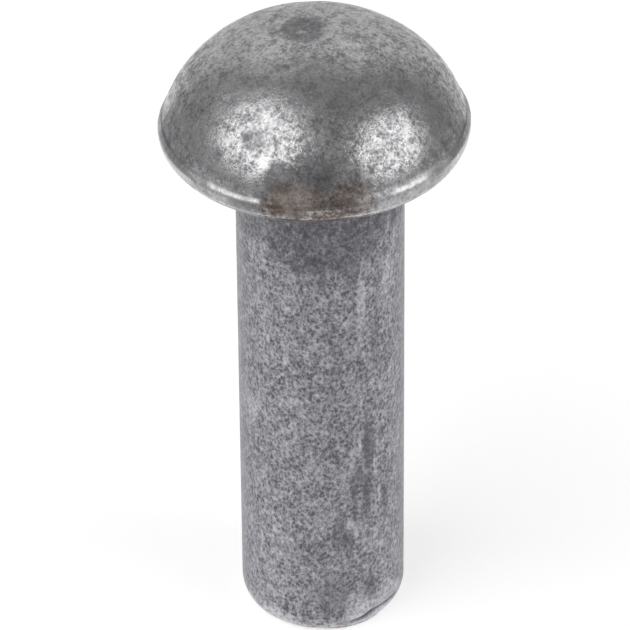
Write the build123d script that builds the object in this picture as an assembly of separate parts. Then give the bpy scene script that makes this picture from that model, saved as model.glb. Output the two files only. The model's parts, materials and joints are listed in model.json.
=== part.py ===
"""Solid round-head rivet: one length of steel wire, cropped and cold headed in one piece.

Millimetres, +Z up. The rivet stands on its shank with the head on top, and the origin is the centre
of the shank's flat end face. The heading die closed a little to one side and out of square, so the
dome and its rim sit slightly off the shank's axis, while the seat under the head was pressed flat and
square to the shank. The cropped end keeps the rolled shoulder of the shear and a thin lip of metal
that the blade dragged past its edge.
"""
import os
from math import asin, cos, degrees, radians, sin, tan

from build123d import *

# Shank
shank_diameter = 6.0
grip_length = 20.0            # from the shank's end face to the seat under the head
neck_radius = 0.3             # fillet between the shank and the seat

# Head
head_diameter = 11.0
head_height = 4.68            # from the seat to the crown
crown_radius = 6.25           # the crown is flatter than the dome's shoulder below it
crown_spread = 30.0           # degrees from the head's axis to where the shoulder takes over
rim_height = 1.14             # from the seat to the dome's foot, where the lip flares out
rim_edge_radius = 0.77        # rounding from the rim into the seat
lip_width = 0.17              # the lip stands this far out past the dome's foot
lip_slope = 45.0              # degrees that the lip falls on its way out
lip_edge_radius = 0.12        # rounding of the lip's outer edge

# The heading die sat towards -X and leaned the same way
head_offset = 0.175
head_tilt = 1.1               # degrees

# Mark of the die's vent near the crown: a ball-shaped hollow with a small pip in it
vent_offset = 0.33            # from the head's axis, towards -X
vent_ball_radius = 14.0
vent_depth = 0.07
pip_ball_radius = 0.4
pip_height = 0.04

# Cropped end: a quarter ellipse rolls the shank in to its flat end face
end_roll_depth = 0.62         # across the shank
end_roll_length = 0.78        # along the shank

# Shear lip: a thin disc of the end that slid sideways past the rolled shoulder
shear_lip_height = 0.12
shear_lip_reach = 0.3         # how far it stands past the edge of the end face
shear_lip_slide = 0.55        # how far the disc slid, which sets how much of the edge it follows
shear_lip_bearing = -56.0     # degrees from +X towards +Y

shank_radius = shank_diameter / 2
head_radius = head_diameter / 2
end_face_radius = shank_radius - end_roll_depth

# The crown is part of a ball, and the shoulder leaves it without an edge and ends at the dome's foot
dome_foot_radius = head_radius - lip_width
crown_centre_height = head_height - crown_radius
crown_edge_radius = crown_radius * sin(radians(crown_spread))
crown_edge_height = crown_centre_height + crown_radius * cos(radians(crown_spread))

# The lip falls straight, then rounds over into the rim's wall
lip_facing = radians(90 - lip_slope)
lip_edge_round = min(lip_edge_radius, 0.9 * lip_width / (1 - cos(lip_facing)))
lip_run = lip_width - lip_edge_round * (1 - cos(lip_facing))
lip_fall = lip_run / tan(lip_facing)
wall_top = rim_height - lip_fall - lip_edge_round * sin(lip_facing)

# Where the tilt brings the rim closest to the seat, its wall is this high
tilt_drop = head_radius * sin(radians(head_tilt))
rim_wall_height = wall_top - tilt_drop
rim_edge_round = min(rim_edge_radius, 0.95 * rim_wall_height)
seat_width = head_radius - head_offset - rim_edge_round - shank_radius
neck_round = min(neck_radius, 0.5 * seat_width)


def make_shank():
    """The wire below the seat, with its rolled shoulder and flat end face."""
    with BuildPart() as shank:
        with BuildSketch(Plane.XZ):
            with BuildLine():
                Line((0, 0), (end_face_radius, 0))
                EllipticalCenterArc(
                    (end_face_radius, end_roll_length), end_roll_depth, end_roll_length, start_angle=-90
                )
                Polyline(
                    (shank_radius, end_roll_length), (shank_radius, grip_length), (0, grip_length), (0, 0)
                )
            make_face()
        revolve(axis=Axis.Z)
    return shank.part


def make_shear_lip():
    """The slid disc, of which only a crescent shows past the rolled shoulder."""
    bearing = radians(shear_lip_bearing)
    disc_radius = end_face_radius + shear_lip_reach - shear_lip_slide
    disc = Cylinder(disc_radius, shear_lip_height, align=(Align.CENTER, Align.CENTER, Align.MIN))
    return Pos(shear_lip_slide * cos(bearing), shear_lip_slide * sin(bearing), 0) * disc


def make_head_blank():
    """Dome, lip and rim turned about the head's own axis, with spare stock below the seat."""
    stock = 2 * tilt_drop
    with BuildPart() as blank:
        with BuildSketch(Plane.XZ):
            with BuildLine():
                Polyline((0, head_height), (0, -stock), (head_radius, -stock), (head_radius, wall_top))
                CenterArc((head_radius - lip_edge_round, wall_top), lip_edge_round, 0, degrees(lip_facing))
                Line((dome_foot_radius + lip_run, rim_height - lip_fall), (dome_foot_radius, rim_height))
                CenterArc((0, crown_centre_height), crown_radius, 90 - crown_spread, crown_spread)
                TangentArc(
                    (crown_edge_radius, crown_edge_height), (dome_foot_radius, rim_height),
                    tangent=(cos(radians(crown_spread)), -sin(radians(crown_spread))),
                )
            make_face()
        revolve(axis=Axis.Z)
    return blank.part


def mark_vent(blank):
    """Presses the vent's hollow into the dome, square to its surface, and leaves the pip standing."""
    lean = degrees(asin(vent_offset / crown_radius))
    on_normal = Pos(0, 0, crown_centre_height) * Rot(0, -lean, 0)
    floor = crown_radius - vent_depth
    hollow = on_normal * Pos(0, 0, floor + vent_ball_radius) * Sphere(vent_ball_radius)
    pip = on_normal * Pos(0, 0, floor + pip_height - pip_ball_radius) * Sphere(pip_ball_radius)
    return blank - hollow + pip


def make_head():
    """The head in place: leaned, moved off the axis, then trimmed flat and rounded at the seat."""
    leaned = Pos(-head_offset, 0, grip_length) * Rot(0, -head_tilt, 0) * mark_vent(make_head_blank())
    trimmed = split(leaned, bisect_by=Plane.XY.offset(grip_length), keep=Keep.TOP)
    seat_edge = trimmed.edges().sort_by(Axis.Z)[0]
    return fillet(seat_edge, rim_edge_round)


def make_rivet():
    """Head, shank and shear lip as the one forged piece, with the fillet at the neck."""
    rivet = make_head() + make_shank() + make_shear_lip()
    at_seat = rivet.edges().filter_by(lambda edge: abs(edge.center().Z - grip_length) < 1e-6)
    neck_edge = at_seat.sort_by(lambda edge: edge.length)[0]
    return fillet(neck_edge, neck_round)


os.makedirs("parts", exist_ok=True)
export_step(make_rivet(), "parts/rivet.step")
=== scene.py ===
"""Solid round-head rivet, cold headed from steel wire: its worn, filmed finish and the stage it stands on.

Everything is placed from the packed part. Lengths inside the shape code are millimetres in the part's
own frame, +Z up along the shank, and become metres only when a mesh is written.
"""
import json
from math import atan2, cos, pi, radians, sin, tan

import bpy
import numpy as np
from mathutils import Matrix, Vector


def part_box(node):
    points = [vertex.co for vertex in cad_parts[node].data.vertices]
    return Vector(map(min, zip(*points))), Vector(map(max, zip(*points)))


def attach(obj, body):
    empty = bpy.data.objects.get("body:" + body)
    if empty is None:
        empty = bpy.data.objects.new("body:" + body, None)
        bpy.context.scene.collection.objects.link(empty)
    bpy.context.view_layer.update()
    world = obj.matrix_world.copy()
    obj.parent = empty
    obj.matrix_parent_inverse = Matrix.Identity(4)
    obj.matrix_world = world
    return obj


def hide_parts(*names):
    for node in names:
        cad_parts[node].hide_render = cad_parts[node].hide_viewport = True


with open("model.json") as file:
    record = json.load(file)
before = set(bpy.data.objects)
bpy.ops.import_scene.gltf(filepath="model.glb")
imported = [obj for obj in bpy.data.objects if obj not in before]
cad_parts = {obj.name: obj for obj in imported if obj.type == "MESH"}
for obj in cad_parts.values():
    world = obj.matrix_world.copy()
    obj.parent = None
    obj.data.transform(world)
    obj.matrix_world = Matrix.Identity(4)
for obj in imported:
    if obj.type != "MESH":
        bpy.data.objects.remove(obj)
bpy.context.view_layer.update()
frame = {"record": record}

bl_info = {
    "name": "Solid Rivet",
    "version": (1, 0, 0),
    "blender": (4, 5, 0),
    "location": "View3D > Sidebar > Rivet",
    "description": "A cold-headed round-head rivet in worn, filmed steel, and the stage it stands on",
    "category": "Add Mesh",
}

MM = 0.001
NODE = "rivet"
MOUNTS = {mount["name"]: mount for mount in frame["record"]["mounts"]}

# Sizes of the packed part, in millimetres
LOW, HIGH = (np.array(corner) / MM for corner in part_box(NODE))
SEAT_HEIGHT = MOUNTS["head_seat"]["pos_m"][2] / MM
SHANK_RADIUS = MOUNTS["shank"]["dims"]["r_mm"]
HEAD_RADIUS = (HIGH[1] - LOW[1]) / 2
HEAD_HEIGHT = HIGH[2] - SEAT_HEIGHT
HEAD_OFFSET = -(LOW[0] + HIGH[0]) / 2

# Runs of rings that make up the head and the shank
HEAD_PARTS = ("dome", "lip", "rim")
SHANK_PARTS = ("neck", "shank")

# Patches on the head: centre and radius in millimetres, strength
OXIDE_AND_SHADE_PATCHES = (
    ((-2.25, -3.89, 22.74), 0.45, 0.9),
    ((3.0, -3.5, 22.9), 0.3, 0.45),
    ((2.3, -3.9, 22.7), 0.25, 0.4),
    # The next two paint shade: the dark band reflected above the rust, between the highlights
    ((-1.4, -4.87, 21.88), 0.68, 1.2),
    ((-0.2, -5.0, 21.95), 0.75, 1.1),
    ((-2.7, -4.95, 20.75), 0.6, 0.8),
    ((-2.15, -5.05, 21.0), 0.4, 0.6),
    ((-1.2, -5.4, 20.6), 0.55, 0.9),
    # The last two darken the dome's foot at the left and right flanks
    ((-5.1, -1.2, 21.4), 0.8, 0.6),
    ((4.9, -1.3, 21.4), 0.7, 0.6),
)
RUBBED_PATCHES = (
    ((1.75, -4.95, 21.45), 0.5, 0.2),
    ((2.5, -4.7, 21.5), 0.4, 0.15),
    ((3.65, -3.5, 21.6), 0.55, 0.7),
    ((3.1, -4.0, 21.55), 0.4, 0.35),
    ((-1.95, -4.49, 22.19), 0.32, 1.0),
)
PALE_RUST_PATCHES = (
    ((-0.8, -5.2, 21.33), 0.85, 1.0),
    ((-1.4, -5.15, 21.2), 0.45, 0.6),
    ((1.15, -5.15, 21.2), 0.5, 0.6),
    ((1.6, -5.03, 21.12), 0.4, 1.0),
)

# Rubbed steel on the lip where the lamps' glints fall, partly a painted highlight:
# bearing from the front and half width, in degrees
LIP_GLINTS = ((-33.0, 13.0), (36.0, 9.0))

# Marks on the shank: bearing in degrees, height, half length and half width in millimetres, strength
DARK_DRAGS = (
    (35.0, 8.4, 1.4, 0.3, 0.7),
    (33.0, 6.2, 1.3, 0.22, 0.8),
    (26.0, 7.2, 0.5, 0.2, 0.6),
    (44.0, 8.7, 0.5, 0.15, 0.5),
    (35.0, 1.9, 0.7, 0.3, 0.6),
    (12.0, 4.6, 1.2, 0.3, 0.5),
    (6.0, 1.8, 1.2, 0.7, 0.45),
    (-34.0, 7.0, 0.35, 0.09, 0.9),
    (8.0, 12.5, 2.0, 0.25, 0.3),
)
PALE_DRAGS = (
    (20.0, 5.0, 0.35, 0.28, 1.0),
    (28.0, 14.5, 2.2, 0.2, 0.6),
    (51.0, 15.5, 0.9, 0.4, 0.6),
    (-57.0, 9.5, 0.8, 0.4, 0.6),
    (39.0, 7.6, 0.5, 0.05, 0.9),
    (43.0, 6.0, 0.4, 0.06, 0.7),
    (28.0, 10.4, 0.4, 0.05, 0.8),
    (27.0, 8.6, 0.3, 0.05, 0.7),
    (-37.0, 4.5, 1.6, 0.05, 0.6),
)

# Cosine of the bearing where rust and mottling on the head's front begin, and where they are full
RUST_FRONT = (0.9, 0.975)
MOTTLED_FRONT = (0.9, 0.97)

# Heights over the seat, in millimetres: the rust's top, the rim's dark, pale and worn lines, the
# mottling's top, and where the shade on the dome's foot ends and the crown's even film begins
RUST_TOP = 1.85
DARK_LINE = 1.02
PALE_LINE = 0.55
WORN_LINE = 0.46
MOTTLED_TOP = 3.9
FOOT_SHADE_ENDS = (1.35, 1.8)
EVEN_CROWN_BEGINS = (2.7, 3.8)

# The head's flanks, with painted shade on the dome's foot and a painted sheen on the rim:
# bearings to either side in radians, and how dark the painted shade lies on each
FLANKS_BEGIN = (0.86, 1.08)
FLANKS_END = (1.4, 1.75)
LEFT_FLANK_SHADE = 0.95
RIGHT_FLANK_SHADE = 0.65

# Painted shadow under the head: its reach down the shank in millimetres, and where it weakens on the left
NECK_REACH = 2.75
NECK_WEAKENS = (-1.15, -0.5)

# Bearings in degrees of the streaks and of the burnished place, which ends this high over the end face
STREAKS_BEGIN = (8.0, 20.0)
STREAKS_END = (46.0, 58.0)
BURNISHED_BEGINS = (12.0, 26.0)
BURNISHED_ENDS = (56.0, 72.0)
BURNISHED_TOP = (0.9, 1.9)

# The fold above the dragged lip: degrees from where the lip stands furthest, and millimetres
CREASE_CLIMBS = (-10.0, 7.0)
CREASE_BEGINS = (-18.0, -8.0)
CREASE_ENDS = (24.0, 36.0)
CREASE_RISE = 0.28
CREASE_HALF_WIDTH = 0.17

# Cells to the millimetre in each of the film's grains
FINE_GRAIN = 10.0
PITS = 8.0
DOTS = 6.0
MOTTLES = 3.0
SPECKS = 2.6
CLOUDS = 0.8
RELIEF_GRAIN = 22.0

# The shank's grain is drawn out: cells to each of the head's, across and along it
DRAWN_ACROSS = 0.92
DRAWN_ALONG = 0.72

# Height of the fine grain's relief, in millimetres
RELIEF_DEPTH = 0.03

# How much the pits count in the fine grain
PIT_SHARE = 0.33

# What the brightest dots, worn places and painted sheen add to the bare share, and how far dark film and
# painted shade hide the steel
SPARKLE = 0.2
WORN_SHOWS = 0.4
DARK_HIDES = 0.4

# How much each grain adds to the bare share, on the head and on the shank
FINE_WEIGHT = (0.58, 0.65)
SPECK_WEIGHT = (0.42, 0.24)
CLOUD_WEIGHT = (0.22, 0.13)
GRAIN_BASE = (0.042, 0.122)

# Sum of the grains where steel starts to show, and where it lies bare, on the head and on the shank
SHOWS = 0.595
LIES_BARE = (0.80, 0.89)

# Bare share of rubbed rims, of evenly worn sides and of steel under thick film
RIM_BARE = 0.6
EVEN_BARE = 0.42
THICK_BARE = 0.15

# Colour of grime and painted shade, and how much it hides; how much rust hides of the film and of bare steel
GRIME_AND_SHADE_COLOUR = (0.07, 0.07, 0.078)
GRIME_AND_SHADE_SHARE = 0.3
RUST_HIDES = (0.92, 0.55)

# Mottling: how much its darkest places darken the colour, and the range from there to its palest
MOTTLE_DARKEST = -0.29
MOTTLE_RANGE = 0.65

# The paper, in millimetres: its size, and where it fades away from the rivet and up the tall wall
PAPER_RADIUS = 450.0
PAPER_CURL = 60.0
LOW_WALL = 50.0
TALL_WALL = 1300.0
FLOOR_FADES = (42.0, 130.0)
# Heights where the tall wall is painted brighter upwards, painted light as if falling from above
WALL_WHITENS = (250.0, 500.0)
WALL_FADES = (550.0, 1250.0)

# Softboxes, this many metres from the head: name, bearing from the front and elevation in degrees,
# width and height in metres, and share of the settings' level
SOFTBOX_DISTANCE = 0.5
SOFTBOXES = (
    ("softbox_left", -55.2, 41.5, 0.59, 0.56, 0.94),
    ("softbox_right", 67.0, 25.0, 0.46, 0.46, 0.97),
)

# How much brighter the room grows towards +X, +Y and +Z
ROOM_LEAN = (-0.07, 0.06, 0.06)


# Settings a user would change

def length_setting(name, description, default):
    """A length in millimetres; the part is too small for Blender's own metre fields."""
    return bpy.props.FloatProperty(
        name=name, description=description, default=default, min=0.0, precision=3
    )


def angle_setting(name, description, degrees):
    return bpy.props.FloatProperty(
        name=name, description=description, default=radians(degrees), subtype="ANGLE"
    )


def colour_setting(name, description, default):
    return bpy.props.FloatVectorProperty(
        name=name, description=description, default=default, subtype="COLOR", size=3, min=0.0, max=1.0
    )


def share_setting(name, description, default):
    return bpy.props.FloatProperty(
        name=name, description=description, default=default, min=0.0, max=1.0, subtype="FACTOR"
    )


class RivetShape(bpy.types.PropertyGroup):
    """Forms that the packed part has and the mesh repeats, and the wear cut into it."""

    head_tilt: angle_setting("Head Tilt", "How far the heading die leaned towards -X", 1.1)
    crown_radius: length_setting("Crown Radius", "Ball that the flatter crown is part of, in mm", 6.25)
    crown_spread: angle_setting(
        "Crown Spread", "From the head's axis to where the dome's shoulder takes over", 30.0
    )
    rim_height: length_setting("Rim Height", "From the seat to the dome's foot, in mm", 1.14)
    rim_edge: length_setting("Rim Edge", "Rounding from the rim into the seat, in mm", 0.86)
    lip_width: length_setting("Lip Width", "How far the lip stands past the dome's foot, in mm", 0.17)
    lip_edge: length_setting("Lip Edge", "Rounding of the lip's outer edge, in mm", 0.12)
    lip_slope: angle_setting("Lip Slope", "How steeply the lip falls on its way out", 45.0)
    neck_radius: length_setting("Neck Radius", "Fillet between shank and seat, in mm", 0.3)
    roll_depth: length_setting("Roll Depth", "Rolled shoulder across the shank, in mm", 0.62)
    roll_length: length_setting("Roll Length", "Rolled shoulder along the shank, in mm", 0.78)
    vent_offset: length_setting("Vent Offset", "Vent mark from the head's axis towards -X, in mm", 0.33)
    vent_radius: length_setting("Vent Radius", "Radius of the vent's hollow on the dome, in mm", 0.78)
    vent_depth: length_setting("Vent Depth", "Depth of the vent's hollow, in mm", 0.07)
    pip_radius: length_setting("Pip Radius", "Radius of the pip in the hollow, in mm", 0.18)
    pip_height: length_setting("Pip Height", "Height of the pip, in mm", 0.04)
    shear_height: length_setting("Shear Lip Height", "Thickness of the dragged lip, in mm", 0.12)
    shear_reach: length_setting("Shear Lip Reach", "Lip past the edge of the end face, in mm", 0.3)
    shear_slide: length_setting("Shear Lip Slide", "How far the sheared disc slid, in mm", 0.55)
    shear_bearing: angle_setting(
        "Shear Lip Bearing", "Where the lip stands furthest, from +X towards +Y", -56.0
    )
    shear_crease: length_setting("Shear Crease", "Depth of the fold above the dragged lip, in mm", 0.12)
    crease_height: length_setting("Crease Height", "Height of the fold over the end face, in mm", 0.7)
    segments: bpy.props.IntProperty(
        name="Segments", description="Faces round the rivet", default=432, min=48, max=440
    )
    unevenness: length_setting("Unevenness", "Depth of the forged surface's slow waves, in mm", 0.022)
    fullness: length_setting("Fullness", "How far the dome swells past its two arcs, in mm", 0.042)
    ding_depth: length_setting("Ding Depth", "Depth of the deepest knocks on the head, in mm", 0.022)
    draw_lines: length_setting("Draw Lines", "Depth of the lines left by the wire die, in mm", 0.006)


class RivetFinish(bpy.types.PropertyGroup):
    """Colours and roughness of the steel, of the dark film on it and of the rust."""

    metal: colour_setting(
        "Worn Steel", "Steel of the head where the film has rubbed off", (0.535, 0.535, 0.535)
    )
    film: colour_setting("Film", "Dark phosphate film on the head", (0.207, 0.204, 0.204))
    cool_film: colour_setting("Cool Film", "The same film where it lies thicker", (0.197, 0.197, 0.226))
    shank_metal: colour_setting(
        "Worn Shank", "Steel of the shank where the film is thin", (0.606, 0.597, 0.637)
    )
    shank_film: colour_setting("Shank Film", "Film on the shank", (0.107, 0.105, 0.119))
    rust: colour_setting("Rust", "Brown tinge at the rim", (0.118, 0.084, 0.071))
    pale_rust: colour_setting("Pale Rust", "Rust where it lies thin over the steel", (0.24, 0.197, 0.174))
    shank_metallic: share_setting("Shank Metallic", "How much the shank's scale shines like metal", 0.8)
    metal_roughness: share_setting("Worn Roughness", "Roughness of the worn steel", 0.19)
    film_roughness: share_setting("Film Roughness", "Roughness of the head's film", 0.46)
    shank_roughness: share_setting("Shank Roughness", "Roughness of the shank's scale", 0.5)
    edge_tint: share_setting("Edge Tint", "Brightness of reflections along the outline", 0.93)
    grain_bump: share_setting("Grain Bump", "Strength of the fine grain's relief on the head", 0.42)
    shank_bump: share_setting("Shank Bump", "Strength of the fine grain's relief on the shank", 0.7)


class RivetStage(bpy.types.PropertyGroup):
    """Camera, lamps, floor and room."""

    camera_elevation: angle_setting("Camera Elevation", "Camera above the horizon", 36.17)
    camera_roll: angle_setting("Camera Roll", "Camera turned about its own axis", 0.506)
    camera_distance: bpy.props.FloatProperty(
        name="Camera Distance", description="From the camera to the shank's axis", default=191.3 * MM,
        subtype="DISTANCE", unit="LENGTH",
    )
    camera_lens: bpy.props.FloatProperty(
        name="Camera Lens", description="Focal length", default=303.89, subtype="DISTANCE_CAMERA"
    )
    aim_below_seat: length_setting("Aim Below Seat", "Aimed point below the seat, in mm", 7.54)
    aim_aside: length_setting("Aim Aside", "Aimed point from the shank's axis towards -X, in mm", 0.217)
    softbox_level: bpy.props.FloatProperty(
        name="Softbox Level", description="Brightness of both softboxes, where 1 is white", default=1.54,
        min=0.0,
    )
    room_level: share_setting("Room Level", "Mean brightness of the room", 0.36)
    glow_level: share_setting("Paper Glow", "Part of the paper's white that is not its own lit colour", 0.55)
    far_level: share_setting(
        "Far Level", "Brightness of the paper away from the rivet, where 1 is white", 0.35
    )


# Number fields on the surface

def cell_noise(points, size, seed):
    """Smooth random field in -1..1 at each point, with one random value at each corner of a cubic lattice."""
    table = np.random.default_rng(seed).uniform(-1.0, 1.0, 4096)
    scaled = points / size
    base = np.floor(scaled).astype(np.int64)
    part = scaled - base
    ease = part * part * (3.0 - 2.0 * part)
    total = np.zeros(len(points))
    for corner in np.ndindex(2, 2, 2):
        cell = base + np.array(corner)
        index = (cell[:, 0] * 73856093) ^ (cell[:, 1] * 19349663) ^ (cell[:, 2] * 83492791)
        weight = np.prod(np.where(corner, ease, 1.0 - ease), axis=1)
        total += weight * table[index & 4095]
    return total


def layered_noise(points, size, seed, layers=3):
    """cell_noise added up over ever smaller cells, each at half the strength of the last."""
    total = sum(0.5**layer * cell_noise(points, size / 2**layer, seed + layer) for layer in range(layers))
    return total / sum(0.5**layer for layer in range(layers))


def ramp(values, start, end):
    """0 up to start and 1 from end, eased between."""
    part = np.clip((values - start) / (end - start), 0.0, 1.0)
    return part * part * (3.0 - 2.0 * part)


def bowl(distance, radius):
    """1 at the centre of a round mark, eased to 0 at its radius."""
    return np.clip(1.0 - (distance / radius) ** 2, 0.0, 1.0) ** 2


# The rivet's surface as rings round its axis, from the crown down to the end face

class Rings:
    """Each ring's part, radius and height in millimetres, and how far it moves and leans with the head."""

    def __init__(self):
        self.rows = []

    def add(self, part, radii, heights, moved, leaned):
        """Adds a run of rings, with each value given for all of them or one for each."""
        columns = np.broadcast_arrays(radii, heights, moved, leaned)
        self.rows += [(part, *row) for row in zip(*columns)]

    def column(self, index):
        return np.array([row[index] for row in self.rows])


def steps(count):
    """Equal steps from 0 to 1, without the 0."""
    return np.linspace(0.0, 1.0, count + 1)[1:]


def arc(radius, centre, angles):
    """Radii and heights of points on an arc, by angles from straight up."""
    return centre[0] + radius * np.sin(angles), centre[1] + radius * np.cos(angles)


def dome_rings(rings, shape):
    """The dome: a flatter crown arc, then a shoulder arc that leaves it without an edge.

    The shoulder's rings crowd towards its foot, where the surface turns fastest.
    """
    crown_rings, shoulder_rings, crowding = 34, 52, 1.6
    crown_centre = np.array([0.0, HEAD_HEIGHT - shape.crown_radius])
    normal = np.array([sin(shape.crown_spread), cos(shape.crown_spread)])
    start = crown_centre + shape.crown_radius * normal
    across = np.array([HEAD_RADIUS - shape.lip_width, shape.rim_height]) - start
    shoulder_radius = -(across @ across) / (2.0 * across @ normal)
    shoulder_centre = start - shoulder_radius * normal
    foot = start + across - shoulder_centre
    sweep = atan2(foot[0], foot[1]) - shape.crown_spread
    angles = shape.crown_spread * steps(crown_rings)
    rings.add("dome", *arc(shape.crown_radius, crown_centre, angles), 1.0, 1.0)
    angles = shape.crown_spread + sweep * (1.0 - (1.0 - steps(shoulder_rings)) ** crowding)
    rings.add("dome", *arc(shoulder_radius, shoulder_centre, angles), 1.0, 1.0)


def rim_rings(rings, shape):
    """The flared lip and its rounded edge, the short wall under it and the edge rolled into the seat."""
    facing = pi / 2 - shape.lip_slope
    run = shape.lip_width - shape.lip_edge * (1.0 - cos(facing))
    fall = run / tan(facing)
    foot = HEAD_RADIUS - shape.lip_width
    rings.add("lip", foot + run * steps(4), shape.rim_height - fall * steps(4), 1.0, 1.0)
    turn = facing * (1.0 - steps(5))
    top = shape.rim_height - fall - shape.lip_edge * sin(facing)
    radii = HEAD_RADIUS - shape.lip_edge * (1.0 - np.cos(turn))
    rings.add("lip", radii, top + shape.lip_edge * np.sin(turn), 1.0, 1.0)
    wall = shape.rim_edge + (top - shape.rim_edge) * (1.0 - steps(2))
    rings.add("rim", HEAD_RADIUS, wall, 1.0, wall / top)
    turn = steps(14) * pi / 2
    radii = HEAD_RADIUS - shape.rim_edge * (1.0 - np.cos(turn))
    height = shape.rim_edge * (1.0 - np.sin(turn))
    rings.add("rim", radii, height, 1.0, height / top)


def seat_rings(rings, shape):
    """The flat seat, which narrows from the head's circle to the shank's, and the neck."""
    outer = HEAD_RADIUS - shape.rim_edge
    inner = SHANK_RADIUS + shape.neck_radius
    across = steps(5)
    rings.add("seat", outer + (inner - outer) * across, 0.0, 1.0 - across, 0.0)
    turn = steps(4) * pi / 2
    radii = inner - shape.neck_radius * np.sin(turn)
    rings.add("neck", radii, -shape.neck_radius * (1.0 - np.cos(turn)), 0.0, 0.0)


def shank_rings(rings, shape):
    """The plain shank, its rolled shoulder and the flat end face."""
    top = -shape.neck_radius
    bottom = shape.roll_length - SEAT_HEIGHT
    rings.add("shank", SHANK_RADIUS, top + (bottom - top) * steps(72), 0.0, 0.0)
    turn = steps(26) * pi / 2
    radii = SHANK_RADIUS - shape.roll_depth * (1.0 - np.cos(turn))
    rings.add("end", radii, bottom - shape.roll_length * np.sin(turn), 0.0, 0.0)
    face = SHANK_RADIUS - shape.roll_depth
    rings.add("face", face * (1.0 - steps(7)[:-1]), -SEAT_HEIGHT, 0.0, 0.0)


def soften_foot(points, parts):
    """Eases the corner between the dome's foot and the lip into a small hollow."""
    foot = np.flatnonzero(parts == "dome")[-1]
    first, last, passes = foot - 6, foot + 10, 25
    near, before, after = (slice(first + step, last + step) for step in (0, -1, 1))
    for _ in range(passes):
        points[near] = 0.5 * points[near] + 0.25 * (points[before] + points[after])


def place_rings(rings, shape):
    """Every ring's points in the part's frame, as an array of rings by segments by XYZ."""
    around = np.arange(shape.segments) * 2.0 * pi / shape.segments
    radius, height, moved, leaned = (rings.column(i)[:, None] for i in (1, 2, 3, 4))
    flat = np.stack(np.broadcast_arrays(radius * np.cos(around), radius * np.sin(around), height), axis=2)
    hinge = np.array([0.0, 0.0, shape.rim_height])
    swing = np.array(Matrix.Rotation(-shape.head_tilt, 3, "Y"))
    swung = (flat - hinge) @ swing.T + hinge
    points = flat + leaned[..., None] * (swung - flat)
    points[..., 0] -= HEAD_OFFSET * moved
    points[..., 2] += SEAT_HEIGHT
    return points


def drag_shear_lip(points, parts, shape):
    """Pushes the lowest rings out to the slid disc where it stands past the rolled shoulder."""
    low = (parts == "end") | (parts == "face")
    disc = SHANK_RADIUS - shape.roll_depth + shape.shear_reach - shape.shear_slide
    around = np.arctan2(points[low, :, 1], points[low, :, 0])
    off = around - shape.shear_bearing
    edge = shape.shear_slide * np.cos(off) + np.sqrt(disc**2 - (shape.shear_slide * np.sin(off)) ** 2)
    radius = np.hypot(points[low, :, 0], points[low, :, 1])
    height = points[low, :, 2]
    outermost = parts[low] == "end"
    held = np.where(outermost[:, None] & (height < shape.shear_height), np.maximum(radius, edge), radius)
    points[low, :, 0] = held * np.cos(around)
    points[low, :, 1] = held * np.sin(around)


def outward(points):
    """Unit vectors off the surface, from the ring and segment directions at each point."""
    along = np.gradient(points, axis=0)
    around = np.roll(points, -1, axis=1) - np.roll(points, 1, axis=1)
    normal = np.cross(along, around)
    normal /= np.maximum(np.linalg.norm(normal, axis=2, keepdims=True), 1e-12)
    return normal


def crown_point(shape, aside):
    """The point on the crown that lies this far from the head's axis, towards -X."""
    lean = np.arcsin(aside / shape.crown_radius) + shape.head_tilt
    hinge = np.array([-HEAD_OFFSET, 0.0, SEAT_HEIGHT + shape.rim_height])
    rise = HEAD_HEIGHT - shape.rim_height - shape.crown_radius
    centre = hinge + rise * np.array([-sin(shape.head_tilt), 0.0, cos(shape.head_tilt)])
    return centre + shape.crown_radius * np.array([-sin(lean), 0.0, cos(lean)])


def vent_depth(points, shape):
    """Depth of the vent's hollow at each point, less the pip standing in it."""
    away = np.linalg.norm(points - crown_point(shape, shape.vent_offset), axis=-1)
    hollow = shape.vent_depth * np.clip(1.0 - (away / shape.vent_radius) ** 2, 0.0, 1.0)
    return hollow - shape.pip_height * bowl(away, shape.pip_radius)


def crease_depth(points, shape):
    """Depth of the fold above the dragged lip, which climbs along the rolled shoulder and then runs level."""
    around = np.degrees(np.arctan2(points[:, 1], points[:, 0]) - shape.shear_bearing)
    climb = CREASE_RISE * (1.0 - ramp(around, *CREASE_CLIMBS))
    height = shape.crease_height - climb + 0.03 * layered_noise(points, size=0.4, seed=61)
    window = ramp(around, *CREASE_BEGINS) * (1.0 - ramp(around, *CREASE_ENDS))
    return shape.shear_crease * window * bowl(points[:, 2] - height, CREASE_HALF_WIDTH)


def knocks(points, centres, radii, depths):
    """Depth of many round knocks at each point."""
    depth = np.zeros(len(points))
    for centre, radius, deepest in zip(centres, radii, depths):
        near = np.abs(points[:, 2] - centre[2]) < radius
        away = np.linalg.norm(points[near] - centre, axis=1)
        depth[near] += deepest * bowl(away, radius)
    return depth


def scatter_knocks(points, allowed, count, sizes, deepest, seed):
    """Knocks of random size on random points of the surface where they are allowed."""
    draw = np.random.default_rng(seed)
    chosen = points[draw.choice(np.flatnonzero(allowed), count)]
    radii = draw.uniform(*sizes, count)
    depths = deepest * draw.uniform(0.2, 1.0, count) * radii / sizes[1]
    return knocks(points, chosen, radii, depths)


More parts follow.
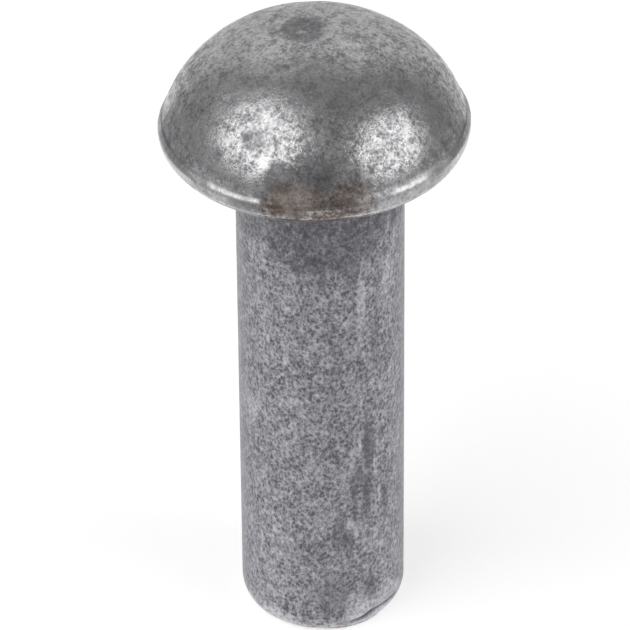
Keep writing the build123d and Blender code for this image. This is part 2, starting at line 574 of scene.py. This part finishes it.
def wear_depth(points, parts, shape):
    """How far the finished surface lies under the clean form at each point, in millimetres."""
    part = np.repeat(parts, shape.segments)
    flat = points.reshape(-1, 3)
    dome = part == "dome"
    lip = part == "lip"
    edge = lip | (part == "rim")
    shank = np.isin(part, SHANK_PARTS)
    ding = shape.ding_depth
    depth = np.zeros(len(flat))
    waves = 0.5 * shape.unevenness * layered_noise(flat, size=1.9, seed=11)
    depth += np.where(dome | edge, waves, 0.0)
    depth += np.where(dome, vent_depth(flat, shape), 0.0)
    down = np.cumsum(parts == "dome") / np.sum(parts == "dome")
    depth -= shape.fullness * np.repeat(np.sin(pi * down**2), shape.segments)
    depth += scatter_knocks(flat, dome, count=160, sizes=(0.12, 0.55), deepest=ding, seed=21)
    depth += scatter_knocks(flat, edge, count=90, sizes=(0.08, 0.3), deepest=1.6 * ding, seed=22)
    depth += np.where(lip, 0.012 * layered_noise(flat, size=0.7, seed=31), 0.0)
    drawn = flat * np.array([1.0, 1.0, 0.02])
    lines = 0.5 * shape.draw_lines * layered_noise(drawn, size=0.16, seed=41)
    depth += np.where(shank, lines, 0.0)
    waves = 0.2 * shape.unevenness * layered_noise(flat, size=1.3, seed=42)
    depth += np.where(shank, waves, 0.0)
    depth += scatter_knocks(flat, shank, count=120, sizes=(0.08, 0.3), deepest=0.5 * ding, seed=43)
    depth += np.where(part == "end", crease_depth(flat, shape), 0.0)
    return depth.reshape(points.shape[:2])


# Shares of each finish, and of painted shade and sheen, on the surface.
# Bearings grow from the front, -Y, towards +X

class Surface:
    """What the shares are worked out from, at every point of the clean form."""

    def __init__(self, points, parts, segments):
        self.points = points.reshape(-1, 3)
        self.part = np.repeat(parts, segments)
        self.row = np.repeat(np.arange(len(parts)), segments)
        self.bearing = np.arctan2(self.points[:, 0], -self.points[:, 1])
        self.degrees = np.degrees(self.bearing)
        self.height = self.points[:, 2]
        self.above = self.height - SEAT_HEIGHT
        self.ragged = layered_noise(self.points, size=0.9, seed=51)
        self.fine = layered_noise(self.points, size=0.4, seed=52)

    def on(self, *names):
        """Whether each point is on one of these runs of rings."""
        return np.isin(self.part, names)


def patches(points, marks, ragged):
    """Share of the strongest of several ragged round patches, given as centre, radius and strength."""
    share = np.zeros(len(points))
    for centre, radius, strength in marks:
        away = np.linalg.norm(points - np.array(centre), axis=1) / radius
        share = np.maximum(share, strength * (1.0 - ramp(away + 0.35 * ragged, 0.6, 1.15)))
    return share


def drag_marks(surface, marks):
    """Share of marks drawn along the shank: bearing, height, half length, half width and strength."""
    share = np.zeros(len(surface.points))
    for middle, height, length, width, strength in marks:
        aside = np.radians(surface.degrees - middle) * SHANK_RADIUS / width
        along = (surface.height - height) / length
        away = np.hypot(aside, along) + 0.3 * surface.fine
        share = np.maximum(share, strength * (1.0 - ramp(away, 0.5, 1.1)))
    return share


def rim_lines(surface, on_rim):
    """Fine lines that run round the rim, in -1..1: a few millimetres long and a ring or two wide.

    One dark line follows the lip and one pale line the middle of the rim.
    """
    length, rings_wide = 1.4, 2.2
    around = np.arctan2(surface.points[:, 1], surface.points[:, 0]) * HEAD_RADIUS
    cells = np.stack([around / length, surface.row / rings_wide, np.zeros(len(around))], axis=1)
    lines = cell_noise(cells, size=1.0, seed=53)
    lines -= 0.5 * bowl(surface.above - DARK_LINE, 0.2)
    lines += 0.1 * bowl(surface.above - PALE_LINE, 0.25)
    return lines * on_rim


def lip_glints(surface):
    """Worn share along the lip's ridge where the lamps' glints fall, partly a painted highlight, with small
    breaks.
    """
    ridge_ring, half_width = 2.8, 5.0
    off_ridge = surface.row - surface.row[surface.on("lip")].min() - ridge_ring
    ridge = bowl(off_ridge, half_width) * ramp(surface.fine, -0.55, -0.15)
    share = np.zeros(len(ridge))
    for middle, width in LIP_GLINTS:
        off = np.abs(surface.degrees - middle) / width
        share = np.maximum(share, ridge * (1.0 - ramp(off + 0.5 * surface.fine, 0.5, 1.1)))
    return share


def head_fields(surface, on_rim, shape):
    """Shares on the head: rust, pale rust, dark film and painted shade, worn steel and painted sheen,
    mottling.
    """
    points, bearing, above = surface.points, surface.bearing, surface.above
    ragged, fine = surface.ragged, surface.fine
    front = ramp(np.cos(bearing + 0.03) + 0.04 * ragged, *RUST_FRONT)
    rust = front * ramp(RUST_TOP + 0.35 * ragged - above, 0.0, 0.45)
    lines = rim_lines(surface, on_rim)
    vent = crown_point(shape, shape.vent_offset)
    stain = (vent + np.array([0.0, 0.2, 0.0]), 0.9, 1.2)
    dark = patches(points, (stain, *OXIDE_AND_SHADE_PATCHES), fine)
    dark += 0.9 * front * ramp(-lines, -0.1, 0.5)
    pip = (vent, 0.9 * shape.pip_radius, 0.6)
    worn = patches(points, (pip, *RUBBED_PATCHES), 0.5 * fine)
    worn = np.maximum(worn, lip_glints(surface))
    worn = np.maximum(worn, 0.4 * front * ramp(lines, 0.4, 0.9))
    # On the flanks the dome's foot is painted dark, a painted shade, and the lip and rim painted bright, a
    # painted sheen
    turned = np.abs(bearing) + 0.08 * ragged
    flanks = ramp(turned, *FLANKS_BEGIN) * (1.0 - ramp(turned, *FLANKS_END))
    foot = surface.on("dome") * (1.0 - ramp(above + 0.2 * ragged, *FOOT_SHADE_ENDS))
    dark += flanks * foot * np.where(bearing < 0.0, LEFT_FLANK_SHADE, RIGHT_FLANK_SHADE)
    worn = np.maximum(worn, 0.9 * flanks * surface.on("lip", "rim"))
    pale = patches(points, PALE_RUST_PATCHES, ragged)
    mottled = ramp(np.cos(bearing - 0.12) + 0.03 * ragged, *MOTTLED_FRONT)
    mottled *= ramp(MOTTLED_TOP - above, 0.0, 0.8)
    head = surface.on(*HEAD_PARTS)
    return rust * head, pale * head, dark * (1.0 - worn) * head, worn * head, 0.4 + 0.6 * mottled


def neck_shade(surface):
    """Share of painted shadow under the head, which reaches lowest in front and is weaker on the left."""
    bearing = surface.bearing
    reach = NECK_REACH + 1.1 * bowl(bearing - 0.08, 1.0) - 0.4 * ramp(bearing, 0.45, 0.85)
    reach += 0.5 * surface.ragged + 0.8 * surface.fine
    strength = 0.5 + 0.47 * ramp(bearing, *NECK_WEAKENS)
    return (1.0 - ramp(-surface.above, reach - 0.3, reach + 0.2)) * strength


def drawn_streaks(surface):
    """Dark share of faint streaks drawn along the shank, right of its front."""
    drawn = surface.points * np.array([1.0, 1.0, 0.14])
    streaks = ramp(layered_noise(drawn, size=0.4, seed=54), 0.1, 0.45)
    begun = ramp(surface.degrees, *STREAKS_BEGIN)
    return 0.7 * streaks * begun * (1.0 - ramp(surface.degrees, *STREAKS_END))


def rolled_wear(surface):
    """Worn share of the burnished place above the dragged lip and of the rolled shoulder all round, partly a
    painted sheen.
    """
    around, height = surface.degrees, surface.height
    burnished = ramp(around, *BURNISHED_BEGINS)
    burnished *= 1.0 - ramp(around + 15.0 * surface.ragged, *BURNISHED_ENDS)
    burnished *= 1.0 - ramp(height + 0.4 * surface.ragged, *BURNISHED_TOP)
    aside = np.sin(surface.bearing)
    # The shoulder's band is wider on the left and stronger towards the sides as seen from the front: partly a
    # painted sheen
    band = 0.55 + 0.6 * ramp(-aside, 0.1, 0.6)
    shoulder = 1.0 - ramp(height + 0.1 * surface.fine, 0.3 * band, band)
    shoulder *= 0.4 + 0.6 * ramp(np.abs(aside), 0.15, 0.5)
    return np.maximum(burnished, shoulder)


def shank_fields(surface, shape):
    """Shares on the shank and its rolled end: dark film and painted shade, worn steel and painted sheen,
    mottling.
    """
    facing = np.cos(surface.bearing - 0.2)
    neck = neck_shade(surface)
    rolled = rolled_wear(surface)
    crease = surface.on("end") * crease_depth(surface.points, shape) / shape.shear_crease
    # The dark share also adds painted shade down the shank's front, which the lamps at the sides light less
    dark = np.maximum(neck, drag_marks(surface, DARK_DRAGS)) + 0.22 * ramp(facing, 0.75, 1.0)
    dark += drawn_streaks(surface) * (1.0 - neck)
    # The fold is painted dark: painted shade in the crease
    dark = np.where(crease > 0.1, 2.6 * crease, dark * (1.0 - rolled))
    worn = np.maximum(drag_marks(surface, PALE_DRAGS), rolled)
    # A little brighter towards the sides as seen from the front: a painted sheen along the outline
    worn = np.maximum(worn, 0.07 * (1.0 - ramp(facing, 0.3, 0.8)))
    return dark, worn * (1.0 - crease), 0.95 * neck


def finish_fields(points, parts, shape):
    """What the material reads at each point: finish and painted light shares, height over the seat, which
    part.

    The even share is where the grain fades out, round the crown's top and along the shank's sides.
    """
    surface = Surface(points, parts, shape.segments)
    head = surface.on(*HEAD_PARTS)
    foot = np.flatnonzero(parts == "dome")[-1]
    on_rim = np.interp(surface.row, (foot - 6, foot - 1), (0.0, 1.0)) * head
    rust, pale, dark, worn, mottled = head_fields(surface, on_rim, shape)
    shank_dark, shank_worn, shank_mottled = shank_fields(surface, shape)
    even_crown = 0.2 * ramp(surface.above, *EVEN_CROWN_BEGINS)
    even_sides = 0.4 * (1.0 - ramp(np.abs(np.cos(surface.bearing)), 0.2, 0.7))
    return {
        "rust": rust,
        "pale_rust": pale,
        "dark": np.where(head, dark, shank_dark),
        "worn": np.where(head, worn, shank_worn),
        "mottled": np.where(head, mottled, shank_mottled),
        "rim": on_rim,
        "above_seat": surface.above,
        "even": np.where(head, even_crown, even_sides),
        "shank": np.where(head, 0.0, np.where(surface.on("end"), 0.6, 1.0)),
    }


def smooth_mesh(name, points, faces):
    """A smooth-shaded mesh from points in millimetres."""
    mesh = bpy.data.meshes.new(name)
    mesh.from_pydata((points * MM).tolist(), [], faces)
    mesh.validate()
    mesh.polygons.foreach_set("use_smooth", [True] * len(mesh.polygons))
    mesh.update()
    return mesh


def closed_mesh(name, points):
    """A mesh of the rings, closed by one point at the crown and one at the end face."""
    rings, segments = points.shape[:2]
    crown = points[0].mean(axis=0)
    crown[2] = points[0, :, 2].max()
    foot = points[-1].mean(axis=0)
    vertices = np.vstack([points.reshape(-1, 3), crown, foot])
    index = np.arange(rings * segments).reshape(rings, segments)
    after = np.roll(index, -1, axis=1)
    quads = np.stack([index[:-1], index[1:], after[1:], after[:-1]], axis=2).reshape(-1, 4)
    top = np.stack([index[0], after[0], np.full(segments, rings * segments)], axis=1)
    base = np.stack([after[-1], index[-1], np.full(segments, rings * segments + 1)], axis=1)
    return smooth_mesh(name, vertices, quads.tolist() + top.tolist() + base.tolist())


def write_field(mesh, name, values):
    """A number at each vertex, for a material to read."""
    attribute = mesh.attributes.new(name, "FLOAT", "POINT")
    attribute.data.foreach_set("value", np.asarray(values, np.float32))


# Node trees

class Tree:
    """Short calls for building the nodes of a material or world."""

    def __init__(self, owner):
        owner.use_nodes = True
        self.tree = owner.node_tree
        self.tree.nodes.clear()

    def node(self, kind, inputs=(), **settings):
        made = self.tree.nodes.new(kind)
        for key, value in settings.items():
            setattr(made, key, value)
        for key, value in dict(inputs).items():
            if isinstance(value, bpy.types.NodeSocket):
                self.tree.links.new(value, made.inputs[key])
            else:
                made.inputs[key].default_value = value
        return made

    def math(self, operation, first, second=0.0, third=0.0, clamp=False):
        sockets = {0: first, 1: second, 2: third}
        return self.node("ShaderNodeMath", sockets, operation=operation, use_clamp=clamp).outputs[0]

    def scaled(self, vector, factor):
        sockets = {0: vector, "Scale": factor}
        return self.node("ShaderNodeVectorMath", sockets, operation="SCALE").outputs[0]

    def noise(self, vector, scale, detail, roughness):
        sockets = {"Vector": vector, "Scale": scale, "Detail": detail, "Roughness": roughness}
        return self.node("ShaderNodeTexNoise", sockets).outputs["Fac"]

    def field(self, name):
        return self.node("ShaderNodeAttribute", attribute_name=name).outputs["Fac"]

    def spread(self, value, low, high):
        """0 at low and under, 1 at high and over."""
        sockets = {"Value": value, "From Min": low, "From Max": high}
        return self.node("ShaderNodeMapRange", sockets, clamp=True).outputs["Result"]

    def mix(self, share, first, second):
        """Two colours mixed by a share."""
        made = self.node("ShaderNodeMix", {"Factor": share}, data_type="RGBA")
        for key, value in (("A", first), ("B", second)):
            socket = [s for s in made.inputs if s.name == key and s.type == "RGBA"][0]
            if isinstance(value, bpy.types.NodeSocket):
                self.tree.links.new(value, socket)
            else:
                socket.default_value = (*value, 1.0)
        return [s for s in made.outputs if s.type == "RGBA"][0]

    def blend(self, share, first, second):
        """Two numbers mixed by a share."""
        return self.node("ShaderNodeMix", {"Factor": share, "A": first, "B": second}).outputs[0]


# The rivet's steel

class SteelGrain:
    """What several parts of the material read: shares that the mesh carries, and the film's grains."""

    def __init__(self, tree):
        self.shank = tree.field("shank")
        self.rim = tree.field("rim")
        self.dark = tree.field("dark")
        self.rust = tree.field("rust")
        self.place = drawn_place(tree, self.shank)
        self.fine = pitted_grain(tree, self.place)
        self.cloud = tree.noise(self.place, CLOUDS, detail=1.0, roughness=0.8)


def drawn_place(tree, shank):
    """Place in the part's own millimetres, squeezed so that the shank's grain is drawn out along it."""
    place = tree.scaled(tree.node("ShaderNodeTexCoord").outputs["Object"], 1.0 / MM)
    on_shank = tree.math("GREATER_THAN", shank, 0.3)
    across = tree.math("MULTIPLY_ADD", on_shank, DRAWN_ACROSS - 1.0, 1.0)
    along = tree.math("MULTIPLY_ADD", on_shank, DRAWN_ALONG - 1.0, 1.0)
    drawn = tree.node("ShaderNodeCombineXYZ", {"X": across, "Y": across, "Z": along}).outputs[0]
    return tree.node("ShaderNodeVectorMath", {0: place, 1: drawn}, operation="MULTIPLY").outputs[0]


def pitted_grain(tree, place):
    """Fine noise with small pits in it."""
    noise = tree.noise(place, FINE_GRAIN, detail=2.0, roughness=1.0)
    sockets = {"Vector": place, "Scale": PITS, "Detail": 1.0, "Roughness": 0.7}
    pits = tree.node("ShaderNodeTexVoronoi", sockets).outputs["Distance"]
    return tree.blend(PIT_SHARE, noise, pits)


def worn_share(tree, grain):
    """The worn places, and a broken worn line round the rim."""
    off_line = tree.math("ABSOLUTE", tree.math("SUBTRACT", tree.field("above_seat"), WORN_LINE))
    line = tree.math("MULTIPLY", tree.spread(off_line, 0.09, 0.03), tree.spread(grain.fine, 0.4, 0.6))
    line = tree.math("MULTIPLY", line, tree.math("MULTIPLY", grain.rim, 0.7))
    return tree.math("MAXIMUM", tree.field("worn"), line)


def bare_share(tree, grain, worn):
    """How much steel shows through the film: specks where the grains add up, and rubbed places."""
    shank, dark = grain.shank, grain.dark
    dots = tree.node("ShaderNodeTexVoronoi", {"Vector": grain.place, "Scale": DOTS}).outputs
    middles = tree.spread(dots["Distance"], 0.32, 0.12)
    sparkle = tree.math("MULTIPLY", middles, tree.spread(dots["Color"], 0.3, 0.8))
    speck = tree.noise(grain.place, SPECKS, detail=1.0, roughness=1.0)
    level = tree.blend(shank, *GRAIN_BASE)
    level = tree.math("MULTIPLY_ADD", speck, tree.blend(shank, *SPECK_WEIGHT), level)
    level = tree.math("MULTIPLY_ADD", grain.fine, tree.blend(shank, *FINE_WEIGHT), level)
    level = tree.math("MULTIPLY_ADD", grain.cloud, tree.blend(shank, *CLOUD_WEIGHT), level)
    level = tree.math("MULTIPLY_ADD", dark, -0.045, level)
    bare = tree.spread(level, SHOWS, tree.blend(shank, *LIES_BARE))
    bare = tree.blend(tree.field("even"), bare, EVEN_BARE)
    rubbed_rim = tree.math("MULTIPLY", grain.rim, tree.math("MULTIPLY_ADD", grain.rust, -0.6, 0.6))
    bare = tree.blend(rubbed_rim, bare, RIM_BARE)
    bare = tree.blend(tree.math("MULTIPLY", dark, DARK_HIDES, clamp=True), bare, THICK_BARE)
    bare = tree.math("MULTIPLY_ADD", sparkle, SPARKLE, bare)
    return tree.math("MULTIPLY_ADD", worn, WORN_SHOWS, bare, clamp=True)


def steel_colour(tree, grain, worn, bare, finish):
    """Film over steel, darkened by grime and painted shade, browned by rust and mottled."""
    film = tree.mix(tree.spread(grain.cloud, 0.4, 0.6), finish.film[:], finish.cool_film[:])
    film = tree.mix(grain.shank, film, finish.shank_film[:])
    metal = tree.mix(grain.shank, finish.metal[:], finish.shank_metal[:])
    colour = tree.mix(bare, film, metal)
    # The dark share lays grime, and painted shade, over the colour
    colour = tree.mix(tree.math("MULTIPLY", grain.dark, GRIME_AND_SHADE_SHARE), colour, GRIME_AND_SHADE_COLOUR)
    browned = tree.math("MULTIPLY", grain.rust, tree.blend(bare, *RUST_HIDES))
    browned = tree.math("MULTIPLY_ADD", worn, -0.4, browned, clamp=True)
    brown = tree.mix(tree.field("pale_rust"), finish.rust[:], finish.pale_rust[:])
    colour = tree.mix(browned, colour, brown)
    mottle = tree.spread(tree.noise(grain.place, MOTTLES, detail=3.0, roughness=1.0), 0.4, 0.6)
    gain = tree.math("MULTIPLY_ADD", mottle, MOTTLE_RANGE, MOTTLE_DARKEST)
    gain = tree.math("MULTIPLY", tree.field("mottled"), gain)
    return tree.scaled(colour, tree.math("ADD", gain, 1.0))


def steel_roughness(tree, grain, worn, bare, finish):
    """The head is rough where film or rust lies and smooth where it is worn; the shank is even."""
    rough = tree.blend(bare, finish.film_roughness, finish.metal_roughness)
    rough = tree.math("MULTIPLY_ADD", tree.math("MAXIMUM", grain.rim, grain.rust), 0.2, rough)
    rough = tree.math("MULTIPLY_ADD", worn, -0.2, rough)
    return tree.blend(grain.shank, rough, finish.shank_roughness)


def steel_relief(tree, grain, finish):
    """The relief of the fine grain, which is too small to model."""
    grit = tree.noise(grain.place, RELIEF_GRAIN, detail=2.0, roughness=0.8)
    height = tree.math("ADD", tree.math("MULTIPLY", grain.fine, 0.6), tree.math("MULTIPLY", grit, 0.4))
    strength = tree.blend(grain.shank, finish.grain_bump, finish.shank_bump)
    sockets = {"Strength": strength, "Distance": RELIEF_DEPTH * MM, "Height": height}
    return tree.node("ShaderNodeBump", sockets).outputs[0]


def steel_material(finish):
    """Steel with a dark film over it, rubbed through in specks, with rust, grime, painted shade and sheen."""
    material = bpy.data.materials.new("worn_filmed_steel")
    tree = Tree(material)
    grain = SteelGrain(tree)
    worn = worn_share(tree, grain)
    bare = bare_share(tree, grain, worn)
    sockets = {
        "Base Color": steel_colour(tree, grain, worn, bare, finish),
        "Metallic": tree.blend(grain.shank, 1.0, finish.shank_metallic),
        "Roughness": steel_roughness(tree, grain, worn, bare, finish),
        "Specular Tint": tree.blend(grain.shank, finish.edge_tint, 1.0),
        "Normal": steel_relief(tree, grain, finish),
    }
    shader = tree.node("ShaderNodeBsdfPrincipled", sockets).outputs[0]
    tree.node("ShaderNodeOutputMaterial", {"Surface": shader})
    return material


# The piece

def build_rivet(context):
    """The rivet's mesh and finish in place of the packed solid."""
    shape = context.scene.rivet_shape
    rings = Rings()
    dome_rings(rings, shape)
    rim_rings(rings, shape)
    seat_rings(rings, shape)
    shank_rings(rings, shape)
    parts = rings.column(0)
    points = place_rings(rings, shape)
    soften_foot(points, parts)
    drag_shear_lip(points, parts, shape)
    clean = points.copy()
    points -= outward(points) * wear_depth(points, parts, shape)[..., None]
    points = np.clip(points, LOW, HIGH)
    mesh = closed_mesh("rivet_worn", points)
    for name, values in finish_fields(clean, parts, shape).items():
        rows = values.reshape(points.shape[:2])
        write_field(mesh, name, np.concatenate([values, [rows[0].mean(), rows[-1].mean()]]))
    rivet = bpy.data.objects.new("rivet_worn", mesh)
    context.scene.collection.objects.link(rivet)
    mesh.materials.append(steel_material(context.scene.rivet_finish))
    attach(rivet, "root")
    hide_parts(NODE)


# The stage

def paper_material(stage):
    """White paper round the rivet that falls away to grey further out, and white again on the tall wall.

    It shows its shadows: part of its white is glow, seen by camera and reflections, and part is lit.
    """
    material = bpy.data.materials.new("white_paper")
    tree = Tree(material)
    path = tree.node("ShaderNodeLightPath")
    seen = tree.math("MAXIMUM", path.outputs["Is Camera Ray"], path.outputs["Is Glossy Ray"])
    seen = tree.math("MAXIMUM", seen, path.outputs["Is Transmission Ray"])
    white = tree.blend(tree.field("white"), stage.far_level, 1.0)
    glow = tree.math("MULTIPLY", tree.math("MULTIPLY", seen, white), stage.glow_level)
    glowing = tree.node("ShaderNodeEmission", {"Strength": glow}).outputs[0]
    tone = tree.mix(white, (0.0, 0.0, 0.0), (0.8, 0.8, 0.8))
    lit = tree.node("ShaderNodeBsdfDiffuse", {"Color": tone}).outputs[0]
    both = tree.node("ShaderNodeAddShader", {0: glowing, 1: lit}).outputs[0]
    tree.node("ShaderNodeOutputMaterial", {"Surface": both})
    return material


def build_sweep(context, stage):
    """Paper: a round floor that the rivet stands on, curled up all round and into a tall wall behind."""
    around = np.linspace(-pi, pi, 121)
    behind = ramp(np.cos(around), 0.6, 0.85)
    turns = steps(12) * pi / 2
    flat = PAPER_RADIUS - PAPER_CURL
    rows = [(reach, 0.0) for reach in np.linspace(1.0, flat, 40)]
    rows += [(flat + PAPER_CURL * sin(turn), PAPER_CURL * (1.0 - cos(turn))) for turn in turns]
    rows += [(PAPER_RADIUS, PAPER_CURL + (TALL_WALL - PAPER_CURL) * rise) for rise in steps(32)]
    reach, rise = (np.array(column)[:, None] for column in zip(*rows))
    height = rise * ((LOW_WALL + (TALL_WALL - LOW_WALL) * behind) / TALL_WALL)
    points = np.stack(np.broadcast_arrays(reach * np.sin(around), reach * np.cos(around), height), axis=2)
    # The tall wall is painted darker low down and brighter above, painted light as if from above, and fades
    # near its top
    wall = (0.72 + 0.3 * ramp(height, *WALL_WHITENS)) * (1.0 - ramp(height, *WALL_FADES))
    white = np.maximum(1.0 - ramp(reach, *FLOOR_FADES), behind * wall)
    index = np.arange(points.size // 3).reshape(points.shape[:2])
    quads = np.stack([index[:-1, :-1], index[:-1, 1:], index[1:, 1:], index[1:, :-1]], axis=2)
    mesh = smooth_mesh("paper_sweep", points.reshape(-1, 3), quads.reshape(-1, 4).tolist())
    write_field(mesh, "white", white.ravel())
    mesh.materials.append(paper_material(stage))
    sweep = bpy.data.objects.new("paper_sweep", mesh)
    context.scene.collection.objects.link(sweep)


def build_softbox(context, name, bearing, elevation, width, height, level):
    """A soft oval lamp aimed at the rivet's head, whose face has the given level."""
    lamp = bpy.data.lights.new(name, "AREA")
    lamp.shape = "ELLIPSE"
    lamp.size = width
    lamp.size_y = height
    lamp.energy = level * (pi / 4 * width * height) * pi
    box = bpy.data.objects.new(name, lamp)
    flat = SOFTBOX_DISTANCE * cos(elevation)
    rise = SOFTBOX_DISTANCE * sin(elevation)
    target = Vector((0.0, 0.0, SEAT_HEIGHT * MM))
    box.location = target + Vector((flat * sin(bearing), -flat * cos(bearing), rise))
    box.rotation_euler = (target - box.location).to_track_quat("-Z", "Y").to_euler()
    box.visible_camera = False
    context.scene.collection.objects.link(box)


def build_camera(context, stage):
    """The camera looks down on the rivet from in front, turned a little about its own axis."""
    camera = bpy.data.objects.new("camera", bpy.data.cameras.new("camera"))
    context.scene.collection.objects.link(camera)
    camera.data.lens = stage.camera_lens
    camera.data.sensor_width = 36.0
    camera.data.clip_start = 1.0 * MM
    camera.data.clip_end = 10.0
    target = Vector((-stage.aim_aside * MM, 0.0, (SEAT_HEIGHT - stage.aim_below_seat) * MM))
    back = Vector((0.0, -cos(stage.camera_elevation), sin(stage.camera_elevation)))
    turned = (-back).to_track_quat("-Z", "Y").to_matrix() @ Matrix.Rotation(-stage.camera_roll, 3, "Z")
    camera.matrix_world = Matrix.Translation(target + stage.camera_distance * back) @ turned.to_4x4()
    context.scene.camera = camera


def build_room(context, stage):
    """The room that the steel reflects: a little brighter overhead, behind and on the left."""
    world = bpy.data.worlds.new("room")
    tree = Tree(world)
    direction = tree.node("ShaderNodeTexCoord").outputs["Generated"]
    sockets = {0: direction, 1: ROOM_LEAN}
    lean = tree.node("ShaderNodeVectorMath", sockets, operation="DOT_PRODUCT").outputs["Value"]
    strength = tree.math("ADD", lean, stage.room_level)
    background = tree.node("ShaderNodeBackground", {"Strength": strength}).outputs[0]
    tree.node("ShaderNodeOutputWorld", {"Surface": background})
    context.scene.world = world
    context.scene.view_settings.view_transform = "Standard"


# Operators, panel and registration

class RIVET_OT_build(bpy.types.Operator):
    """Build the rivet's worn surface in place of the packed solid"""

    bl_idname = "rivet.build"
    bl_label = "Build Rivet"

    def execute(self, context):
        build_rivet(context)
        return {"FINISHED"}


class RIVET_OT_stage(bpy.types.Operator):
    """Set the floor, softboxes, room and camera"""

    bl_idname = "rivet.stage"
    bl_label = "Set Stage"

    def execute(self, context):
        stage = context.scene.rivet_stage
        build_sweep(context, stage)
        for name, bearing, elevation, width, height, share in SOFTBOXES:
            level = share * stage.softbox_level
            build_softbox(context, name, radians(bearing), radians(elevation), width, height, level)
        build_room(context, stage)
        build_camera(context, stage)
        return {"FINISHED"}


class RIVET_PT_panel(bpy.types.Panel):
    """The rivet's steps and settings"""

    bl_idname = "RIVET_PT_panel"
    bl_label = "Rivet"
    bl_space_type = "VIEW_3D"
    bl_region_type = "UI"
    bl_category = "Rivet"

    def draw(self, context):
        for operator in OPERATORS:
            self.layout.operator(operator.bl_idname)
        for group, settings in GROUPS.items():
            box = self.layout.box()
            box.label(text=settings.__doc__.split(",")[0].rstrip("."))
            for name in settings.__annotations__:
                box.prop(getattr(context.scene, group), name)


OPERATORS = (RIVET_OT_build, RIVET_OT_stage)
GROUPS = {"rivet_shape": RivetShape, "rivet_finish": RivetFinish, "rivet_stage": RivetStage}
CLASSES = (*GROUPS.values(), *OPERATORS, RIVET_PT_panel)


def register():
    for made in CLASSES:
        bpy.utils.register_class(made)
    for name, settings in GROUPS.items():
        setattr(bpy.types.Scene, name, bpy.props.PointerProperty(type=settings))


def unregister():
    for name in GROUPS:
        delattr(bpy.types.Scene, name)
    for made in reversed(CLASSES):
        bpy.utils.unregister_class(made)


def main():
    register()
    bpy.ops.rivet.build()
    bpy.ops.rivet.stage()


if __name__ == "__main__":
    main()
